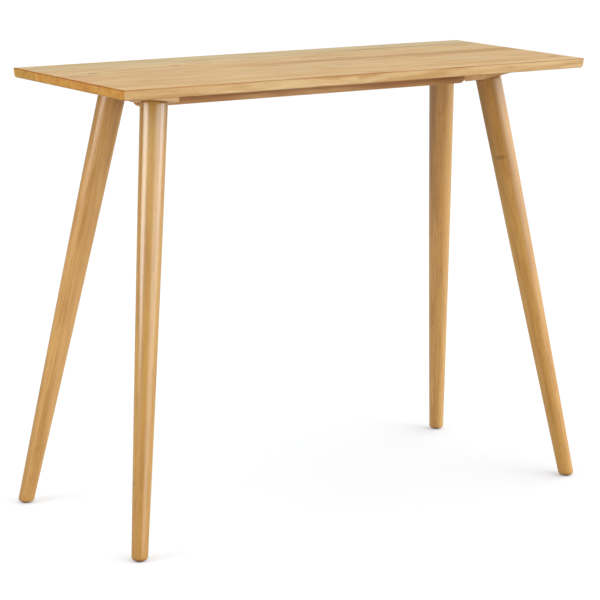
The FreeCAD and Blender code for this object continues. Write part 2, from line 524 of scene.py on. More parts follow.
@dataclass(frozen=True)
class StaveFinish(WoodFinish):
    """Wood of the tabletop, with a line of painted shade along the top's arrises.

    Attributes:
        half_length: Half the top's length.
        half_depth: Half the top's depth.
        height: Height of the top face.
        band: How wide the line of painted shade along the arris is.
        band_fade: Where that line starts and is full, in its widths from the arris.
        long_share: How much of that line the long arrises show.
    """

    half_length: float = 0.65
    half_depth: float = 0.25
    height: float = 1.05
    band: float = 0.0017
    band_fade: Span = (2.2, 0.6)
    long_share: float = 0.7

    def near(self, graph: NodeGraph, value: Any, limit: float, share: float = 1.0) -> Any:
        """Says how near a place comes to a limit, up to a share."""
        return graph.fade(value, *(limit - self.band * widths for widths in self.band_fade), 0.0, share)

    def edges(self, graph: NodeGraph) -> Any:
        """Says where the painted shade along the arrises falls, from the size of the top.

        Args:
            graph: The material's graph.

        Returns:
            1 on the arrises, fading to 0 beside them.
        """
        x, y, z = graph.add("SeparateXYZ", {"Vector": graph.place.outputs["Object"]}).outputs
        short = self.near(graph, graph.math("ABSOLUTE", x), self.half_length)
        long = self.near(graph, graph.math("ABSOLUTE", y), self.half_depth, self.long_share)
        return graph.math("MULTIPLY", graph.math("MAXIMUM", short, long), self.near(graph, z, self.height))


@dataclass(frozen=True)
class SteelFinish:
    """Zinc-plated steel, drawn or turned, with a fine brushed grain.

    Attributes:
        bright: Colour of the clean plating.
        dull: Colour of the duller patches.
        worn: Colour of the thread crests.
    """

    bright: Colour = linear(196, 198, 200)
    dull: Colour = linear(150, 150, 146)
    worn: Colour = linear(222, 222, 220)

    def paint(self, name: str) -> bpy.types.Material:
        """Makes the material.

        Args:
            name: The material's name.

        Returns:
            The material.
        """
        graph = NodeGraph(bpy.data.materials.new(name))
        place = graph.place.outputs["Object"]
        patch = graph.noise(place, (160.0, 160.0, 160.0), 3.0).outputs[0]
        brush = graph.noise(place, (900.0, 900.0, 5000.0)).outputs[0]
        colour = graph.mix(graph.fade(patch, 0.4, 0.7), self.bright, self.dull)
        colour = graph.mix(graph.math("MULTIPLY", graph.wear(), 0.4), colour, self.worn)
        return graph.surface({"Base Color": colour, "Metallic": 1.0,
                              "Roughness": graph.fade(brush, 0.3, 0.7, 0.24, 0.42),
                              "Normal": graph.bump(brush, 0.2, 0.0001)})


@dataclass(frozen=True)
class PlasticFinish:
    """Moulded brown plastic of the glides, scuffed where it meets the floor.

    Attributes:
        clean: Colour of the plastic.
        scuffed: Colour where it is worn.
    """

    clean: Colour = linear(84, 58, 40)
    scuffed: Colour = linear(128, 104, 84)

    def paint(self, name: str) -> bpy.types.Material:
        """Makes the material.

        Args:
            name: The material's name.

        Returns:
            The material.
        """
        graph = NodeGraph(bpy.data.materials.new(name))
        grit = graph.noise(graph.place.outputs["Object"], (700.0, 700.0, 700.0), 3.0, 0.7).outputs[0]
        scuff = graph.math("MULTIPLY", graph.wear(), graph.fade(grit, 0.35, 0.65))
        colour = graph.mix(scuff, self.clean, self.scuffed)
        return graph.surface({"Base Color": colour, "Roughness": graph.fade(grit, 0.3, 0.7, 0.42, 0.62),
                              "Normal": graph.bump(grit, 0.3, 0.00015)})


@dataclass(frozen=True)
class FloorFinish:
    """A plain studio floor, lit through from below, that throws back less light than it shows.

    Attributes:
        light: Its colour.
        shade: The colour of its very faint clouds.
        thrown: The colour that it throws back on the table.
        glow: How much light comes through it.
    """

    light: Colour = linear(205, 207, 209)
    shade: Colour = linear(203, 205, 207)
    thrown: Colour = linear(178, 167, 151)
    glow: float = 0.19

    def paint(self, name: str) -> bpy.types.Material:
        """Makes the material.

        Args:
            name: The material's name.

        Returns:
            The material.
        """
        graph = NodeGraph(bpy.data.materials.new(name))
        cloud = graph.noise(graph.place.outputs["Object"], (0.8, 0.8, 0.8)).outputs[0]
        seen = graph.add("LightPath").outputs["Is Camera Ray"]
        colour = graph.mix(graph.fade(cloud, 0.35, 0.65), self.light, self.shade)
        colour = graph.mix(seen, self.thrown, colour)
        glow = graph.math("MULTIPLY", seen, self.glow)
        return graph.surface({"Base Color": colour, "Roughness": 0.9, "Specular IOR Level": 0.1,
                              "Emission Color": WHITE, "Emission Strength": glow})


@dataclass
class MeshDraft:
    """Points, faces and wear of a mesh that is being drawn up.

    Attributes:
        points: The points, each x, y and z.
        faces: The faces, each a list of point numbers.
        wear: How worn each point is, from 0 to 1.
    """

    points: list[Point] = field(default_factory=list)
    faces: list[list[int]] = field(default_factory=list)
    wear: list[float] = field(default_factory=list)

    def ring(self, points: list[Point], wear: float = 0.0) -> list[int]:
        """Adds a ring of points.

        Args:
            points: The points.
            wear: How worn they are.

        Returns:
            Their numbers.
        """
        first = len(self.points)
        self.points += points
        self.wear += [wear] * len(points)
        return list(range(first, first + len(points)))

    def circle(self, radius: float, height: float, sides: int, wear: float = 0.0) -> list[int]:
        """Adds a level ring of points round the z axis, and gives their numbers."""
        angles = [FULL_TURN * i / sides for i in range(sides)]
        return self.ring([(radius * math.cos(a), radius * math.sin(a), height) for a in angles], wear)

    def skin(self, lower: list[int], upper: list[int]) -> list[int]:
        """Joins two rings with as many points by a band of faces.

        Args:
            lower: The first ring.
            upper: The second ring.

        Returns:
            The second ring, to go on from.
        """
        count = len(lower)
        for i in range(count):
            j = (i + 1) % count
            self.faces.append([lower[i], lower[j], upper[j], upper[i]])
        return upper

    def loft(self, rings: list[list[int]]) -> None:
        """Joins rings to each other, in their order."""
        for first, second in zip(rings, rings[1:]):
            self.skin(first, second)

    def take(self, other: "MeshDraft", place: Matrix) -> None:
        """Takes in another draft.

        Args:
            other: The other draft.
            place: Where its points go.
        """
        first = len(self.points)
        self.points += [tuple(place @ Vector(point)) for point in other.points]
        self.wear += other.wear
        self.faces += [[number + first for number in face] for face in other.faces]

    def cap(self, ring: list[int], centre: Point, wear: float = 0.0) -> None:
        """Closes a ring with a fan round a centre.

        Args:
            ring: The ring.
            centre: The centre.
            wear: How worn the centre is.
        """
        middle = self.ring([centre], wear)[0]
        count = len(ring)
        for i in range(count):
            self.faces.append([ring[i], ring[(i + 1) % count], middle])

    def lathe(self, outline: list[Point], sides: int) -> None:
        """Turns an outline about the z axis, closed at both ends.

        Args:
            outline: Radius, height and wear of each point, from one end of the axis to the other.
            sides: How many sides the turned piece has.
        """
        rings = [self.circle(radius, height, sides, worn) for radius, height, worn in outline[1:-1]]
        self.loft(rings)
        for ring, (_, height, worn) in ((rings[0], outline[0]), (rings[-1], outline[-1])):
            self.cap(ring, (0.0, 0.0, height), worn)

    def make(self, name: str, sharp: float = CRISP_FROM) -> bpy.types.Object:
        """Makes the mesh and its object, with its faces turned outwards.

        Args:
            name: The piece's name.
            sharp: The angle from which an edge stays crisp.

        Returns:
            The object.
        """
        mesh = bpy.data.meshes.new(name)
        mesh.from_pydata(self.points, [], self.faces)
        layer = mesh.attributes.new(WEAR, "FLOAT", "POINT")
        layer.data.foreach_set("value", np.array(self.wear, np.float32))
        shape = bmesh.new()
        shape.from_mesh(mesh)
        bmesh.ops.recalc_face_normals(shape, faces=shape.faces)
        shape.to_mesh(mesh)
        shape.free()
        mesh.shade_smooth()
        mesh.set_sharp_from_angle(angle=sharp)
        return Workshop.stand(name, mesh)


class Workshop:
    """What every sub-assembly does with a finished piece: holes, placing, paint and the frame."""

    @staticmethod
    def stand(name: str, data: Any) -> bpy.types.Object:
        """Puts something into the scene as an object.

        Args:
            name: The object's name.
            data: Its mesh, light or camera.

        Returns:
            The object.
        """
        piece = bpy.data.objects.new(name, data)
        bpy.context.scene.collection.objects.link(piece)
        return piece

    @staticmethod
    def bar(radius: float, start: Vector, end: Vector) -> bpy.types.Object:
        """Makes a plain round bar that serves as a cutter.

        Args:
            radius: The bar's radius.
            start: The middle of its first end.
            end: The middle of its other end.

        Returns:
            The bar.
        """
        draft = MeshDraft()
        length = (end - start).length
        outline = [(0.0, 0.0, 0.0), (radius, 0.0, 0.0), (radius, length, 0.0), (0.0, length, 0.0)]
        draft.lathe(outline, CUTTER_SIDES)
        piece = draft.make("cutter")
        turn = (end - start).to_track_quat("Z", "Y").to_matrix().to_4x4()
        piece.matrix_world = Matrix.Translation(start) @ turn
        return piece

    @staticmethod
    def bars(radius: float, places: list[Span], low: float, high: float) -> list[bpy.types.Object]:
        """Makes upright bars at some places, from a low height to a high one."""
        return [Workshop.bar(radius, Vector((*place, low)), Vector((*place, high))) for place in places]

    @staticmethod
    def drill(piece: bpy.types.Object, bars: list[bpy.types.Object]) -> None:
        """Cuts bars out of a piece and clears them away.

        Args:
            piece: The piece.
            bars: The bars.
        """
        for bar in bars:
            cut = piece.modifiers.new("hole", "BOOLEAN")
            cut.operation = "DIFFERENCE"
            cut.solver = "EXACT"
            cut.object = bar
        bpy.context.view_layer.update()
        graph = bpy.context.evaluated_depsgraph_get()
        drilled = bpy.data.meshes.new_from_object(piece.evaluated_get(graph))
        plain = piece.data
        piece.modifiers.clear()
        piece.data = drilled
        for mesh in [plain] + [bar.data for bar in bars]:
            bpy.data.meshes.remove(mesh)
        drilled.shade_smooth()
        drilled.set_sharp_from_angle(angle=CUT_CRISP_FROM)

    @staticmethod
    def settle(piece: bpy.types.Object, place: Matrix) -> None:
        """Moves a piece's mesh into place, so that its object stays at the origin of the frame."""
        piece.data.transform(place)
        piece.data.set_sharp_from_angle(angle=CRISP_FROM)

    @staticmethod
    def fit(piece: bpy.types.Object, node: str, slot: Slot, material: bpy.types.Material) -> None:
        """Gives a new piece its finish and puts it in the place of a node.

        Args:
            piece: The piece, in place.
            node: The node that it stands for.
            slot: The record's slot that its finish belongs to; not used.
            material: Its finish.
        """
        Workshop.dress(piece, material)
        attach(piece, BODY)
        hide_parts(node)
        log.info("%s stands for %s: %d faces", piece.name, node, len(piece.data.polygons))

    @staticmethod
    def dress(piece: bpy.types.Object, material: bpy.types.Material) -> None:
        """Gives a piece its finish, in place of any other."""
        piece.data.materials.clear()
        piece.data.materials.append(material)


@dataclass(frozen=True)
class LegAxis:
    """Where one leg stands, worked out from the frame.

    Attributes:
        head: The middle of the leg's head face.
        foot: The point where its axis meets the level foot.
    """

    head: Vector
    foot: Vector

    @classmethod
    def of(cls, corner: str) -> "LegAxis":
        """Finds the axis through the bolt's middle and the glide's top.

        Args:
            corner: The leg's corner.

        Returns:
            The axis.
        """
        low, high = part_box("foot_glide_" + corner)
        foot = Vector(((low.x + high.x) / 2, (low.y + high.y) / 2, high.z))
        down = (foot - middle_of("hanger_bolt_" + corner)).normalized()
        head = foot - down * ((foot.x - middle_of("leg_block_" + corner).x) / down.x)
        return cls(head, foot)

    @property
    def down(self) -> Vector:
        """The way from the head to the foot."""
        return (self.foot - self.head).normalized()

    @property
    def length(self) -> float:
        """The distance from the head to the foot."""
        return (self.foot - self.head).length

    @property
    def place(self) -> Matrix:
        """The leg's own coordinates: its head face at the origin and its axis down -z."""
        turn = (-self.down).to_track_quat("Z", "Y").to_matrix().to_4x4()
        return Matrix.Translation(self.head) @ turn

    def reach(self, height: float) -> float:
        """Gives the distance down the axis from its head to a height, less than 0 above the head."""
        return (height - self.head.z) / self.down.z


@dataclass
class Tabletop:
    """The edge-glued top: five staves, each with its own wood.

    Attributes:
        brown: Colour of its dark streaks.
        pale: Colour of its pale ones.
    """

    brown: Colour = linear(140, 107, 68)
    pale: Colour = linear(193, 169, 127)

    def finishes(self) -> list[StaveFinish]:
        """Chooses the wood of each stave, from the front to the back.

        Returns:
            The finishes.
        """
        low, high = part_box(STAVES[0])
        plain = StaveFinish(half_length=high.x, half_depth=-low.y, height=high.z, tone=linear(182, 141, 92),
                            end_grain_and_highlight_tint=linear(248, 220, 160), specular=0.03, coat=0.1, coat_roughness=0.24,
                            edge_share=0.9, contrast=0.5, ring=0.0062, figure=0.03, cloud=0.6, dashes=0.85)
        return [
            replace(plain, early=linear(203, 177, 134), late=linear(180, 143, 94), tone=linear(185, 143, 92),
                    pith=(0.14, 0.003), knots=(Knot(0.612, 0.021, None, 0.009, 0.6),)),
            replace(plain, early=linear(200, 174, 132), late=linear(178, 141, 95), pith=(-0.035, -0.16),
                    streaks=(Streak(0.035, 0.010, -0.6, 0.55, self.pale),)),
            replace(plain, early=linear(199, 172, 130), late=linear(174, 136, 90), pith=(0.01, -0.09),
                    streaks=(Streak(0.018, 0.027, -0.10, 0.38, self.brown),)),
            replace(plain, early=linear(200, 175, 134), late=linear(177, 142, 98), pith=(0.05, -0.14),
                    knots=(Knot(-0.55, -0.042, None, 0.009, 0.6), Knot(0.137, -0.042, None, 0.008, 0.5),
                           Knot(-0.304, 0.0, None, 0.008, 0.55))),
            replace(plain, early=linear(192, 175, 137), late=linear(170, 145, 103),
                    tone=linear(180, 155, 111), pith=(-0.02, -0.11),
                    streaks=(Streak(-0.022, 0.012, 0.15, 0.35, self.brown),)),
        ]

    def build(self) -> None:
        """Dresses the staves, which keep their shape."""
        for number, (node, finish) in enumerate(zip(STAVES, self.finishes())):
            turn, seed = Grain.ALONG_X.turn(), seed_of("stave", number)
            Workshop.dress(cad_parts[node], finish.paint(node + "_wood", turn, seed, middle_of(node)))
            log.info("%s keeps its shape", node)


@dataclass
class StiffeningRail:
    """The rail under the middle of the top: rounded ends, eased lower edges and dowel holes.

    Attributes:
        end_round: Radius of its lower ends.
        ease: Radius of its eased edges.
        ease_steps: Flats in a rounded edge.
        end_steps: Flats in a rounded end.
        hole_radius: Radius of its dowel holes.
        hole_room: How far a hole goes on beyond its dowel.
        over: How far a cutter stands out of the rail.
        finish: Its wood, with a band of painted shade under the top.
        low: Its lowest corner.
        high: Its highest corner.
    """

    end_round: float = 18 * MM
    ease: float = 2.2 * MM
    ease_steps: int = 5
    end_steps: int = 16
    hole_radius: float = 4.1 * MM
    hole_room: float = 1 * MM
    over: float = 5 * MM
    finish: WoodFinish = WoodFinish(
        early=linear(223, 187, 136), late=linear(193, 145, 93), tone=linear(203, 152, 97), pith=(0.05, -0.03),
        coat=0.2, contrast=0.9, dashes=0.7, edge_share=0.2,
        # A darker band along the rail: painted shade under the top.
        streaks=(Streak(0.002, 0.012, -0.7, 0.65, linear(154, 94, 42)),))
    low: Vector = field(init=False)
    high: Vector = field(init=False)

    def __post_init__(self) -> None:
        """Reads the rail's place from the frame."""
        self.low, self.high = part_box("stiffening_rail")

    def outline(self, inset: float) -> list[Span]:
        """Draws the rail's side, drawn in all round but at the top.

        Args:
            inset: How far it is drawn in.

        Returns:
            The outline as x and z.
        """
        radius = self.end_round - inset
        points = []
        for side, edge in ((-1, self.low.x + inset), (1, self.high.x - inset)):
            column = [(edge, self.high.z)]
            for step in range(self.end_steps + 1):
                angle = QUARTER_TURN * step / self.end_steps
                column.append((edge - side * radius + side * radius * math.cos(angle),
                               self.low.z + self.end_round - radius * math.sin(angle)))
            points += column[::-side]
        return points

    def build(self) -> None:
        """Builds the rail and fits it."""
        half = (self.high.y - self.low.y) / 2
        stations = []
        for step in range(self.ease_steps + 1):
            angle = QUARTER_TURN * step / self.ease_steps
            across = half - self.ease + self.ease * math.cos(angle)
            inset = self.ease * (1 - math.sin(angle))
            stations.append((across, inset, 1.0 - abs(step / self.ease_steps - 0.5)))
        draft = MeshDraft()
        rings = []
        for y, inset, worn in [(-y, inset, worn) for y, inset, worn in stations] + stations[::-1]:
            side = [(x, y, z) for x, z in self.outline(inset)]
            rings.append(draft.ring(side, worn if inset > 0 else 0.0))
        draft.loft(rings)
        draft.faces += [rings[0][::-1], rings[-1]]
        piece = draft.make("stiffening_rail_of_wood")
        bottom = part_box("rail_dowels")[0].z - self.hole_room
        top = self.high.z + self.over
        Workshop.drill(piece, Workshop.bars(self.hole_radius, self.peg_places(), bottom, top))
        turn = Grain.ALONG_X_ON_EDGE.turn()
        material = self.finish.paint("rail_wood_oiled", turn, seed_of("rail"), (self.low + self.high) / 2)
        Workshop.fit(piece, "stiffening_rail", Slot.RAIL, material)

    @staticmethod
    def peg_places() -> list[Span]:
        """Finds the rail's dowels at the two ends of their node's box.

        Returns:
            Their places as x and y.
        """
        low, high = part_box("rail_dowels")
        radius = (high.y - low.y) / 2
        return [(low.x + radius, 0.0), (high.x - radius, 0.0)]


@dataclass
class TurnedLeg:
    """A turned leg: a long taper with a slight belly, cut level and rounded over at the foot.

    Attributes:
        corner: The leg's corner.
        axis: Where it stands.
        head_radius: Radius at the head.
        foot_radius: Radius where the axis meets the floor side.
        belly: How far the side swells past a straight taper.
        head_ease: Rounding at the rim of the head.
        head_steps: Flats in that rounding.
        foot_round: Rounding at the foot.
        foot_steps: Flats in that rounding.
        bore_radius: Radius of the bolt's hole.
        bore_depth: Depth of the bolt's hole.
        sides: How many sides the turned mesh has.
        rings: How many rings it has along its length.
        ends: How far the first ring is below the head, and the last one above the foot's rounding.
        search: Shares of its length between which its side meets the level foot.
        search_steps: How often that stretch is halved.
        step: A short step along its side, which gives the slope there.
    """

    corner: str
    axis: LegAxis
    head_radius: float = 31.5 * MM
    foot_radius: float = 18.5 * MM
    belly: float = 1.2 * MM
    head_ease: float = 2.4 * MM
    head_steps: tuple[float, ...] = (0.33, 0.67, 1.0)
    foot_round: float = 7 * MM
    foot_steps: int = 8
    bore_radius: float = 4.1 * MM
    bore_depth: float = 45.1 * MM
    sides: int = 96
    rings: int = 36
    ends: Span = (6 * MM, 12 * MM)
    search: Span = (0.9, 1.05)
    search_steps: int = 40
    step: float = 0.1 * MM

    def radius(self, distance: float) -> float:
        """Gives the leg's radius at a distance below its head.

        Args:
            distance: The distance.

        Returns:
            The radius.
        """
        share = distance / self.axis.length
        return (self.head_radius + (self.foot_radius - self.head_radius) * share
                + 4 * self.belly * share * (1 - share))

    def side_point(self, angle: float, distance: float) -> Vector:
        """Gives a point on the turned side, by its angle round the axis and its distance below the head."""
        radius = self.radius(distance)
        return Vector((radius * math.cos(angle), radius * math.sin(angle), -distance))

    def foot_column(self, angle: float, foot: Vector, level: Vector) -> list[Vector]:
        """Works out one column of the rounded foot, from the side round to the level face.

        Args:
            angle: The angle round the axis.
            foot: A point of the level face, in the leg's coordinates.
            level: The way down to the floor, in the leg's coordinates.

        Returns:
            The points from the side to the level face.
        """
        near, far = (self.axis.length * share for share in self.search)
        for _ in range(self.search_steps):
            middle = (near + far) / 2
            if (self.side_point(angle, middle) - foot).dot(level) < 0:
                near = middle
            else:
                far = middle
        rim = self.side_point(angle, near)
        along = (self.side_point(angle, near + self.step) - rim).normalized()
        outward = Vector((-math.sin(angle), math.cos(angle), 0.0)).cross(along).normalized()
        if outward.dot(Vector((math.cos(angle), math.sin(angle), 0.0))) < 0:
            outward.negate()
        centre = rim - (outward + level) * (self.foot_round / (1 + outward.dot(level)))
        between = outward.angle(level)
        points = []
        for number in range(self.foot_steps + 1):
            share = number / self.foot_steps
            way = outward * math.sin((1 - share) * between) + level * math.sin(share * between)
            points.append(centre + way / math.sin(between) * self.foot_round)
        return points

    def draw(self) -> MeshDraft:
        """Draws the leg in its own coordinates: the bore, the head, the side and the foot.

        Returns:
            The draft.
        """
        draft = MeshDraft()
        last = draft.circle(self.bore_radius, -self.bore_depth, self.sides)
        draft.cap(last, (0.0, 0.0, -self.bore_depth - self.bore_radius * 0.5))
        inner = self.head_radius - self.head_ease
        for radius in (self.bore_radius, self.bore_radius * 2, inner * 0.6, inner):
            last = draft.skin(last, draft.circle(radius, 0.0, self.sides))
        for share in self.head_steps:
            depth = self.head_ease * (1 - math.cos(QUARTER_TURN * share))
            rim = self.radius(depth) - self.head_ease * (1 - math.sin(QUARTER_TURN * share))
            last = draft.skin(last, draft.circle(rim, -depth, self.sides, 0.7))

        foot = Vector((0.0, 0.0, -self.axis.length))
        level = self.axis.place.to_3x3().transposed() @ Vector((0.0, 0.0, -1.0))
        columns = [self.foot_column(FULL_TURN * i / self.sides, foot, level) for i in range(self.sides)]
        first, lowest = self.ends[0], min(-column[0].z for column in columns) - self.ends[1]
        for number in range(self.rings):
            distance = first + (lowest - first) * number / (self.rings - 1)
            last = draft.skin(last, draft.circle(self.radius(distance), -distance, self.sides))
        for number in range(self.foot_steps + 1):
            worn = math.sin(math.pi * number / self.foot_steps) * 0.8
            last = draft.skin(last, draft.ring([tuple(column[number]) for column in columns], worn))
        for share in (0.55, 0.2):
            inward = [tuple(foot + (column[-1] - foot) * share) for column in columns]
            last = draft.skin(last, draft.ring(inward, 0.3))
        draft.cap(last, tuple(foot), 0.3)
        return draft

    def build(self, finish: WoodFinish, seed: float) -> None:
        """Builds the leg and fits it.

        Args:
            finish: Its wood.
            seed: A number that gives it its own stretch of the tree.
        """
        piece = self.draw().make("turned_leg_" + self.corner)
        Workshop.settle(piece, self.axis.place)
        turn = Grain.ALONG_Z.turn(self.axis.place)
        middle = (self.axis.head + self.axis.foot) / 2
        material = finish.paint("leg_wood_" + self.corner, turn, seed, middle)
        Workshop.fit(piece, "leg_" + self.corner, Slot.LEG, material)


@dataclass
class WedgeBlock:
    """A block between the top and a leg's head, cut at right angles to the leg below.

    Attributes:
        corner: The block's corner.
        axis: The axis of the leg that it carries.
        lower_round: Rounding of its lower edges.
        lower_steps: Flats in that rounding.
        upright_ease: Easing of its upright edges.
        upright_steps: Flats in that easing.
        upright_least: The length from which an edge counts as one of them.
        insert_radius: Radius of the insert's bore.
        insert_room: How far the bore ends below the top.
        dowel_radius: Radius of its dowel holes.
        dowel_inset: Distance of a dowel from the block's sides.
        dowel_room: How far a dowel's hole goes on beyond it.
        over: How far a cutter stands out of the block.
        finish: Its wood, whose end grain is lifted to near white as a painted highlight.
        low: Its lowest corner.
        high: Its highest corner.
    """

    corner: str
    axis: LegAxis
    lower_round: float = 4 * MM
    lower_steps: int = 6
    upright_ease: float = 0.6 * MM
    upright_steps: int = 2
    upright_least: float = 5 * MM
    insert_radius: float = 6.35 * MM
    insert_room: float = 9.9 * MM
    dowel_radius: float = 4.1 * MM
    dowel_inset: float = 10 * MM
    dowel_room: float = 1 * MM
    over: float = 5 * MM
    finish: WoodFinish = WoodFinish(
        # End grain lifted far past the wood's colour: paler end grain with a painted highlight.
        early=linear(206, 164, 108), late=linear(186, 141, 84), end_grain_and_highlight_tint=(1.7, 2.05, 3.2, 1.0),
        pith=(0.02, -0.06), coat=0.5, coat_roughness=0.2, edge_share=0.15)
    low: Vector = field(init=False)
    high: Vector = field(init=False)

    def __post_init__(self) -> None:
        """Reads the block's place from the frame."""
        self.low, self.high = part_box("leg_block_" + self.corner)

    def draw(self) -> bpy.types.Mesh:
        """Draws the wedge with its edges rounded.

        Returns:
            The mesh.
        """
        low, high, head, down = self.low, self.high, self.axis.head, self.axis.down
        shape = bmesh.new()
        upper, lower = [], []
        for x, y in ((low.x, low.y), (high.x, low.y), (high.x, high.y), (low.x, high.y)):
            slope = ((head.x - x) * down.x + (head.y - y) * down.y) / down.z
            upper.append(shape.verts.new((x, y, high.z)))
            lower.append(shape.verts.new((x, y, head.z + slope)))
        shape.faces.new(upper)
        shape.faces.new(lower[::-1])
        for i in range(4):
            j = (i + 1) % 4
            shape.faces.new((upper[j], upper[i], lower[i], lower[j]))
        rims = [edge for edge in shape.edges if all(v in lower for v in edge.verts)]
        bmesh.ops.bevel(shape, geom=rims, offset=self.lower_round, segments=self.lower_steps, profile=0.5,
                        affect="EDGES", offset_type="OFFSET", clamp_overlap=True)
        crisp = []
        for edge in shape.edges:
            run = edge.verts[0].co - edge.verts[1].co
            if abs(run.x) < HAIR and abs(run.y) < HAIR and edge.calc_length() > self.upright_least:
                crisp.append(edge)
        bmesh.ops.bevel(shape, geom=crisp, offset=self.upright_ease, segments=self.upright_steps, profile=0.5,
                        affect="EDGES")
        bmesh.ops.recalc_face_normals(shape, faces=shape.faces)
        mesh = bpy.data.meshes.new("wedge")
        shape.to_mesh(mesh)
        shape.free()
        return mesh

    def mark_wear(self, mesh: bpy.types.Mesh) -> None:
        """Stores wear at the block's rounded edges.

        Args:
            mesh: The block's mesh.
        """
        layer = mesh.attributes.new(WEAR, "FLOAT", "POINT")
        for number, vertex in enumerate(mesh.vertices):
            from_low, from_high = vertex.co - self.low, self.high - vertex.co
            inside = min(from_low.x, from_high.x, from_low.y, from_high.y)
            layer.data[number].value = 0.7 if 0 < inside < self.lower_round * 0.6 else 0.0

    def peg_places(self) -> list[Span]:
        """Finds the block's dowels at the two corners that lie across the leg's lean.

        Returns:
            Their places as x and y.
        """
        sign_x, sign_y = CORNERS[self.corner]
        middle = (self.low + self.high) / 2
        reach = (self.high.x - self.low.x) / 2 - self.dowel_inset
        return [(middle.x + side * sign_x * reach, middle.y - side * sign_y * reach) for side in (-1, 1)]

    def bars(self) -> list[bpy.types.Object]:
        """Makes the bars that cut the insert's bore and the dowel holes.

        Returns:
            The bars.
        """
        head, down, top = self.axis.head, self.axis.down, self.high.z
        upper = head + down * self.axis.reach(top)
        bore = Workshop.bar(self.insert_radius, head + down * self.over, upper + down * self.insert_room)
        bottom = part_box("block_dowels")[0].z - self.dowel_room
        return [bore] + Workshop.bars(self.dowel_radius, self.peg_places(), bottom, top + self.over)

    def build(self, seed: float) -> None:
        """Builds the block and fits it.

        Args:
            seed: A number that gives it its own stretch of the tree.
        """
        mesh = self.draw()
        self.mark_wear(mesh)
        piece = Workshop.stand("wedge_block_" + self.corner, mesh)
        Workshop.drill(piece, self.bars())
        # The grain is turned so that the faces with the painted highlight show end grain.
        grain = Grain.ALONG_Y if CORNERS[self.corner][0] < 0 else Grain.ALONG_X
        middle = (self.low + self.high) / 2
        material = self.finish.paint("block_wood_" + self.corner, grain.turn(), seed, middle)
        Workshop.fit(piece, "leg_block_" + self.corner, Slot.BLOCK, material)


@dataclass(frozen=True)
class Thread:
    """A thread cut on a piece.

    Attributes:
        radius: Its outer radius.
        depth: Its depth.
        pitch: Its pitch.
        sides: Sides of the threaded piece.
        steps: Rings to a turn.
    """

    radius: float
    depth: float
    pitch: float
    sides: int = 32
    steps: int = 6

    @property
    def root(self) -> float:
        """Its inner radius."""
        return self.radius - self.depth

    def cut(self, draft: MeshDraft, start: float, end: float, last: list[int]) -> list[int]:
        """Adds a stretch of the thread along z, which fades in and out over a turn.

        Args:
            draft: The draft to add to.
            start: Its first height.
            end: Its last height.
            last: The ring that it goes on from.

        Returns:
            Its last ring.
        """
        steps = max(2, round(abs(end - start) / self.pitch * self.steps))
        for step in range(steps + 1):
            height = start + (end - start) * step / steps
            fade_in = min(1.0, step / self.steps, (steps - step) / self.steps)
            points = []
            for i in range(self.sides):
                angle = FULL_TURN * i / self.sides
                crest = 1 - abs(2 * ((height / self.pitch - i / self.sides) % 1.0) - 1)
                radius = self.radius - self.depth * (1 - crest * fade_in)
                points.append((radius * math.cos(angle), radius * math.sin(angle), height))
            last = draft.skin(last, draft.ring(points, 0.5))
        return last


